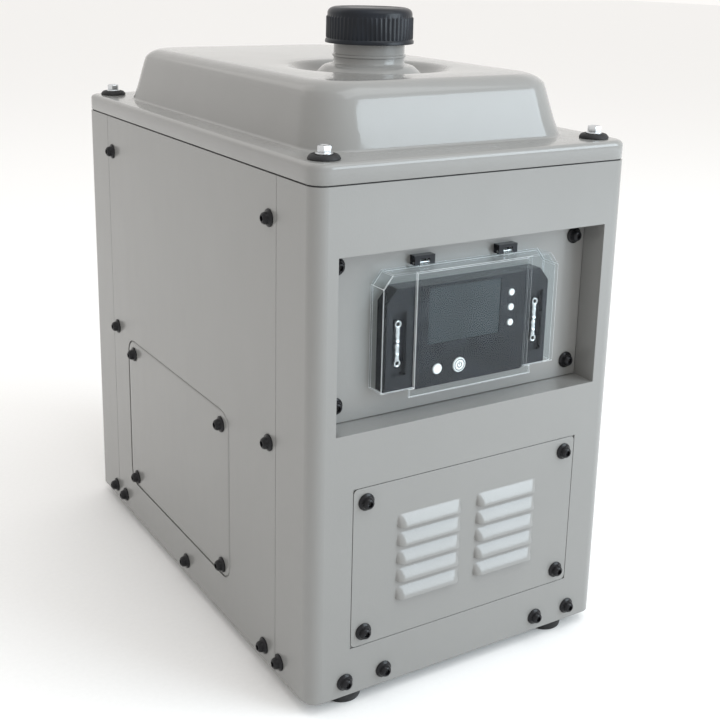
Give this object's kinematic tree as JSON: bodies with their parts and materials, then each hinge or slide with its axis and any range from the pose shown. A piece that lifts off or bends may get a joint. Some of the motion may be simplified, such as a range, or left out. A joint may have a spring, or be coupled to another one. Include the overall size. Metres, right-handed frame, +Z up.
{
  "type": "portable generator",
  "caption": "Portable engine generator in a grey sheet steel case, with a domed fuel tank as its lid and a recessed control unit behind a hinged clear cover.",
  "frame": {"origin": "on the ground, at the centre of the object's plan, midway between the four feet", "axes": "+X to the right seen from the control side, +Y to the back, +Z up"},
  "size_m": [0.3132, 0.4972, 0.5485],
  "materials": {
    "case_paint": "satin powder coat",
    "tank_plastic": "gloss blow-moulded",
    "black_rubber": "moulded",
    "black_plastic": "fine moulded grain",
    "gloss_black": "gloss",
    "clear_plastic": "clear polycarbonate",
    "screw_black": "black oxide",
    "zinc": "bright zinc plate",
    "button_white": "smooth",
    "display": "gloss",
    "foam": "closed-cell foam",
    "cast_aluminium": "as cast",
    "steel": "machined",
    "exhaust_steel": "heat-tinted",
    "bed_paint": "black paint",
    "board_green": "solder mask",
    "copper": "enamelled winding"
  },
  "bodies": {
    "root": {"base_tray": "case_paint", "rubber_feet": "black_rubber", "foot_screws": "zinc", "front_shell": "case_paint", "rear_shell": "case_paint", "left_side_panel": "case_paint", "right_side_panel": "case_paint", "left_service_hatch": "case_paint", "right_service_hatch": "case_paint", "front_louvre_panel": "case_paint", "rear_louvre_panel": "case_paint", "tank_frame": "case_paint", "tank_gasket": "foam", "fuel_tank": "tank_plastic", "tank_bolt_washers": "black_rubber", "tank_bolts": "zinc", "case_screws": "screw_black", "control_plate": "case_paint", "controller_housing": "gloss_black", "mounting_strips": "zinc", "controller_face": "gloss_black", "display_window": "display", "circuit_board": "board_green", "keypad_mat": "black_rubber", "hinge_clips": "gloss_black", "hinge_pins": "steel", "rubber_mounts": "black_rubber", "engine_rails": "bed_paint", "crankcase": "cast_aluminium", "crankcase_cover": "cast_aluminium", "cylinder_barrel": "cast_aluminium", "cylinder_head": "cast_aluminium", "rocker_cover": "bed_paint", "spark_plug": "steel", "plug_lead": "black_rubber", "ignition_coil": "black_plastic", "carburettor": "cast_aluminium", "air_cleaner": "black_plastic", "exhaust_pipe": "exhaust_steel", "muffler": "exhaust_steel", "muffler_stays": "bed_paint", "stator": "copper", "fan_shroud": "black_plastic", "power_module": "cast_aluminium", "module_bracket": "bed_paint", "output_terminals": "black_plastic", "fuel_hose": "black_rubber"},
    "cover": {"clear_cover": "clear_plastic"},
    "cap_seal": {"cap_gasket": "black_rubber"},
    "cap": {"filler_cap": "black_plastic"},
    "throttle": {"throttle_lever": "steel"},
    "rotating_group": {"crankshaft": "steel", "magnet_rotor": "steel", "cooling_fan": "black_plastic"},
    "page_button": {"page_button": "button_white"},
    "up_button": {"up_button": "button_white"},
    "down_button": {"down_button": "button_white"},
    "select_button": {"select_button": "button_white"},
    "power_button": {"power_button": "button_white"}
  },
  "joints": [
    {"name": "cap_lift", "type": "slide", "parent": "root", "child": "cap_seal", "axis": [0, 0, 1], "range_m": [0, 0.0215]},
    {"name": "cap_turn", "type": "hinge", "parent": "cap_seal", "child": "cap", "pos_m": [0, -0.07, 0.54], "axis": [0, 0, 1], "range_deg": [0, 1260]},
    {"name": "cover_swing", "type": "hinge", "parent": "root", "child": "cover", "pos_m": [0, -0.223, 0.361], "axis": [-1, 0, 0], "range_deg": [0, 90]},
    {"name": "crank_spin", "type": "hinge", "parent": "root", "child": "rotating_group", "pos_m": [0.008, -0.1, 0.133], "axis": [0, 1, 0], "continuous": true},
    {"name": "throttle_turn", "type": "hinge", "parent": "root", "child": "throttle", "pos_m": [-0.057, -0.016, 0.293], "axis": [0, 0, -1], "range_deg": [0, 70]},
    {"name": "page_button_press", "type": "slide", "parent": "root", "child": "page_button", "axis": [0, 1, 0], "range_m": [0, 0.0008], "stiffness_N_per_m": 600, "springref_m": -0.001},
    {"name": "up_button_press", "type": "slide", "parent": "root", "child": "up_button", "axis": [0, 1, 0], "range_m": [0, 0.0008], "stiffness_N_per_m": 600, "springref_m": -0.001},
    {"name": "down_button_press", "type": "slide", "parent": "root", "child": "down_button", "axis": [0, 1, 0], "range_m": [0, 0.0008], "stiffness_N_per_m": 600, "springref_m": -0.001},
    {"name": "select_button_press", "type": "slide", "parent": "root", "child": "select_button", "axis": [0, 1, 0], "range_m": [0, 0.0008], "stiffness_N_per_m": 600, "springref_m": -0.001},
    {"name": "power_button_press", "type": "slide", "parent": "root", "child": "power_button", "axis": [0, 1, 0], "range_m": [0, 0.0008], "stiffness_N_per_m": 600, "springref_m": -0.001}
  ],
  "couplings": [
    {"joint": "cap_lift", "follows": "cap_turn", "m_per_rad": 0.00095493}
  ]
}
